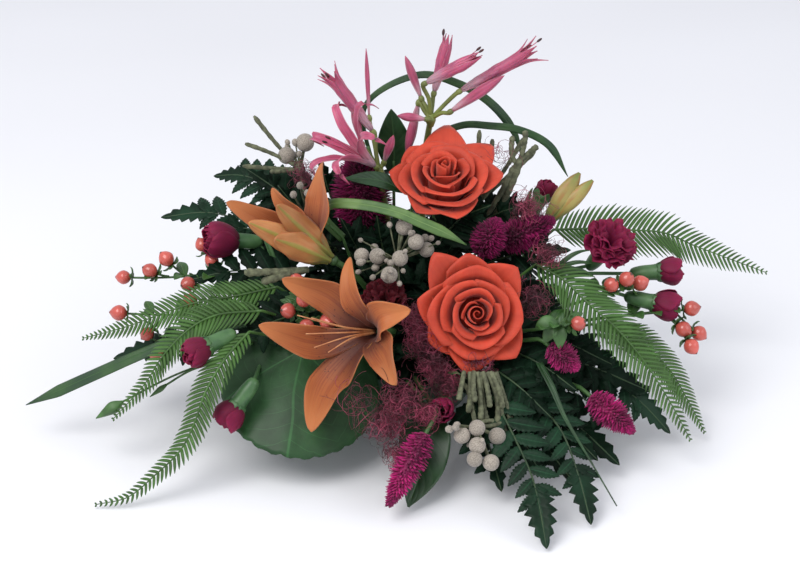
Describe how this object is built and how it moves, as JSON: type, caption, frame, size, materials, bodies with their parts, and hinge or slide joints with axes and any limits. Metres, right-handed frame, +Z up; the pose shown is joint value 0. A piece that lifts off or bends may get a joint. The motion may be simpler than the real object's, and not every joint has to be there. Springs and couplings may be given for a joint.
{
  "type": "flower arrangement",
  "caption": "Low, wide table arrangement of roses, lilies, nerines, carnations, cockscomb, brunia, berries and ferns, all standing in floral foam in a shallow round bowl.",
  "frame": {"origin": "middle of the bowl's underside, on the surface that it stands on", "axes": "+X along the arrangement's long side to the viewer's right, +Y to its back, +Z up"},
  "size_m": [0.5935, 0.3937, 0.2936],
  "materials": {
    "dish": "satin",
    "foam": "matte",
    "rose_petal": "matte",
    "lily_petal": "satin",
    "green_stem": "matte",
    "lily_bud": "satin",
    "nerine_petal": "satin",
    "carnation_petal": "matte",
    "celosia_plume": "matte",
    "brunia_felt": "matte",
    "hypericum_berry": "satin",
    "grass_leaf": "satin",
    "salal_leaf": "satin",
    "galax_leaf": "satin",
    "umbrella_fern": "matte",
    "leather_fern": "satin"
  },
  "bodies": {
    "root": {"dish": "dish", "foam": "foam", "rose_upper_bloom": "rose_petal", "rose_upper_stem": "green_stem", "rose_lower_bloom": "rose_petal", "rose_lower_stem": "green_stem", "lily_open_bloom": "lily_petal", "lily_half_bloom": "lily_petal", "lily_stem": "green_stem", "lily_buds": "lily_bud", "nerine_right": "nerine_petal", "nerine_left": "nerine_petal", "carnation_left_open": "carnation_petal", "carnation_left_buds": "carnation_petal", "carnation_right": "carnation_petal", "carnation_back": "carnation_petal", "carnation_centre": "carnation_petal", "carnation_low": "carnation_petal", "celosia_back_left": "celosia_plume", "celosia_back_centre": "celosia_plume", "celosia_back_right": "celosia_plume", "celosia_right": "celosia_plume", "celosia_low_right": "celosia_plume", "celosia_low": "celosia_plume", "brunia_centre": "brunia_felt", "brunia_low": "brunia_felt", "brunia_back_left": "brunia_felt", "brunia_back_right": "brunia_felt", "hypericum_left_high": "hypericum_berry", "hypericum_left_low": "hypericum_berry", "hypericum_centre": "hypericum_berry", "hypericum_right_high": "hypericum_berry", "hypericum_right_low": "hypericum_berry", "hypericum_right_far": "hypericum_berry", "grass_loop_front": "grass_leaf", "grass_loop_high": "grass_leaf", "grass_loop_back": "grass_leaf", "grass_spear": "grass_leaf", "salal_back": "salal_leaf", "salal_low": "salal_leaf", "galax_leaf": "galax_leaf", "umbrella_left_high": "umbrella_fern", "umbrella_left_low": "umbrella_fern", "umbrella_left_front": "umbrella_fern", "umbrella_right_high": "umbrella_fern", "umbrella_right_front": "umbrella_fern", "umbrella_right_back": "umbrella_fern", "leather_front_left": "leather_fern", "leather_front_right": "leather_fern", "leather_left_high": "leather_fern", "leather_back_left": "leather_fern", "leather_left_low": "leather_fern", "leather_right_low": "leather_fern", "leather_rear_left": "leather_fern", "leather_rear_centre": "leather_fern", "leather_rear_right": "leather_fern", "leather_left_side": "leather_fern", "leather_right_side": "leather_fern", "leather_tall_left": "leather_fern", "leather_tall_right": "leather_fern"}
  },
  "joints": []
}
